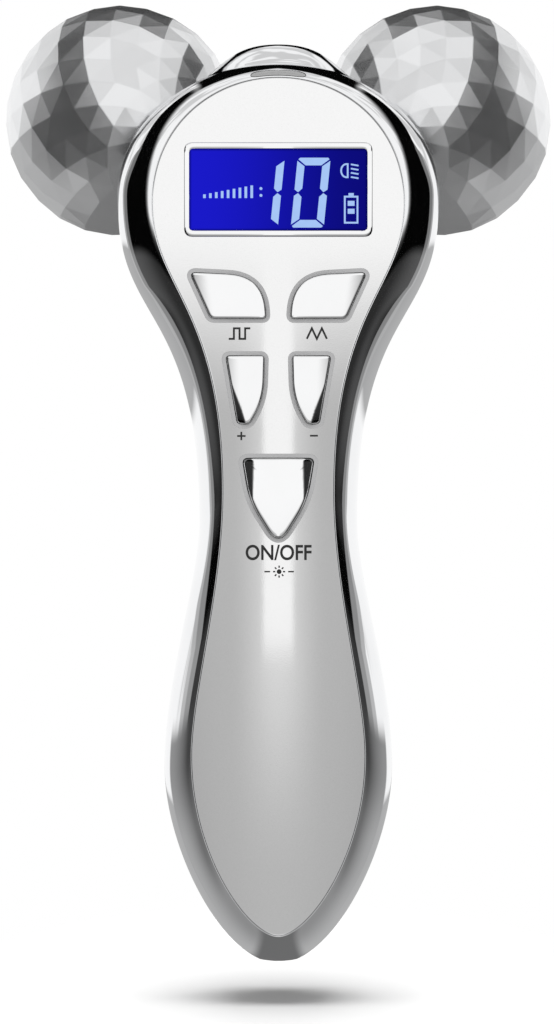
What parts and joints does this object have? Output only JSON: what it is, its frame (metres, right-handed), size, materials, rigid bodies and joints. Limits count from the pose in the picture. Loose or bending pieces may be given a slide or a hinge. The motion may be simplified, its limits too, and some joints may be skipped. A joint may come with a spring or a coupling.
{
  "type": "facial toning device",
  "caption": "Slim chrome-rimmed handle with a silver face plate, segment display and keys, opening into a round head that carries faceted metal rollers on splayed axles.",
  "frame": {"origin": "centre of the charging port's mouth, in the tip of the grip", "axes": "+Z from the grip's tip to the head, -Y towards the display and keys, +X to the right as seen from the front"},
  "size_m": [0.1042, 0.0685, 0.1824],
  "materials": {
    "chrome": "mirror polished plating",
    "key_chrome": "mirror polished plating",
    "ball_chrome": "polished plating on flat facets",
    "face_paint": "silver paint with a satin lacquer",
    "smoked_lens": "polished grey translucent plastic",
    "window": "polished clear window",
    "window_clear": "polished clear window",
    "display": "blue lit segment display",
    "white_plastic": "fine satin",
    "black_plastic": "fine satin",
    "circuit_board": "lacquered laminate",
    "steel": "turned and brushed",
    "copper": "lacquered wire",
    "gold_contact": "thin gold plating",
    "cell_wrap": "shrink sleeve",
    "lamp_body": "moulded resin",
    "red_lead": "smooth sleeve",
    "black_lead": "smooth sleeve"
  },
  "bodies": {
    "handle": {"front_panel": "face_paint", "chrome_rim": "chrome", "back_shell": "chrome", "indicator_lens": "smoked_lens", "display_window": "window", "display_glass": "display", "light_guide": "white_plastic", "display_holder": "black_plastic", "switch_bodies": "steel", "main_board": "circuit_board", "control_chip": "black_plastic", "pulse_coil": "copper", "storage_capacitor": "cell_wrap", "charge_chip": "black_plastic", "contact_pins": "gold_contact", "battery_cell": "cell_wrap", "battery_cradle": "black_plastic", "charging_jack": "black_plastic", "jack_board": "circuit_board", "battery_leads": "red_lead", "jack_leads": "black_lead", "lamp_leads": "red_lead", "axle_bracket": "black_plastic", "lamp_window": "window_clear", "lamps": "lamp_body", "lamp_board": "circuit_board", "rim_screws": "steel", "board_screws": "steel", "bracket_screws": "steel", "axle_left": "steel", "collar_left": "chrome", "washer_left": "white_plastic", "clip_left": "steel", "axle_right": "steel", "collar_right": "chrome", "washer_right": "white_plastic", "clip_right": "steel"},
    "left_roller": {"ball_left": "ball_chrome", "core_left": "black_plastic", "cap_left": "chrome", "inner_bush_left": "white_plastic", "outer_bush_left": "white_plastic"},
    "right_roller": {"ball_right": "ball_chrome", "core_right": "black_plastic", "cap_right": "chrome", "inner_bush_right": "white_plastic", "outer_bush_right": "white_plastic"},
    "upper_left_key": {"key_upper_left": "key_chrome", "plunger_upper_left": "black_plastic"},
    "upper_right_key": {"key_upper_right": "key_chrome", "plunger_upper_right": "black_plastic"},
    "plus_key": {"key_plus": "key_chrome", "plunger_plus": "black_plastic"},
    "minus_key": {"key_minus": "key_chrome", "plunger_minus": "black_plastic"},
    "power_key": {"key_power": "key_chrome", "plunger_power": "black_plastic"}
  },
  "joints": [
    {"name": "left_roll", "type": "hinge", "parent": "handle", "child": "left_roller", "pos_m": [0, -0.0119, 0.1432], "axis": [-0.5259, 0.8006, 0.2874], "continuous": true},
    {"name": "right_roll", "type": "hinge", "parent": "handle", "child": "right_roller", "pos_m": [0, -0.0119, 0.1432], "axis": [0.5259, 0.8006, 0.2874], "continuous": true},
    {"name": "upper_left_press", "type": "slide", "parent": "handle", "child": "upper_left_key", "axis": [0, 1, 0], "range_m": [0, 0.00045], "stiffness_N_per_m": 2500, "springref_m": -0.0003},
    {"name": "upper_right_press", "type": "slide", "parent": "handle", "child": "upper_right_key", "axis": [0, 1, 0], "range_m": [0, 0.00045], "stiffness_N_per_m": 2500, "springref_m": -0.0003},
    {"name": "plus_press", "type": "slide", "parent": "handle", "child": "plus_key", "axis": [0, 1, 0], "range_m": [0, 0.00045], "stiffness_N_per_m": 2500, "springref_m": -0.0003},
    {"name": "minus_press", "type": "slide", "parent": "handle", "child": "minus_key", "axis": [0, 1, 0], "range_m": [0, 0.00045], "stiffness_N_per_m": 2500, "springref_m": -0.0003},
    {"name": "power_press", "type": "slide", "parent": "handle", "child": "power_key", "axis": [0, 1, 0], "range_m": [0, 0.00045], "stiffness_N_per_m": 2500, "springref_m": -0.0003}
  ]
}
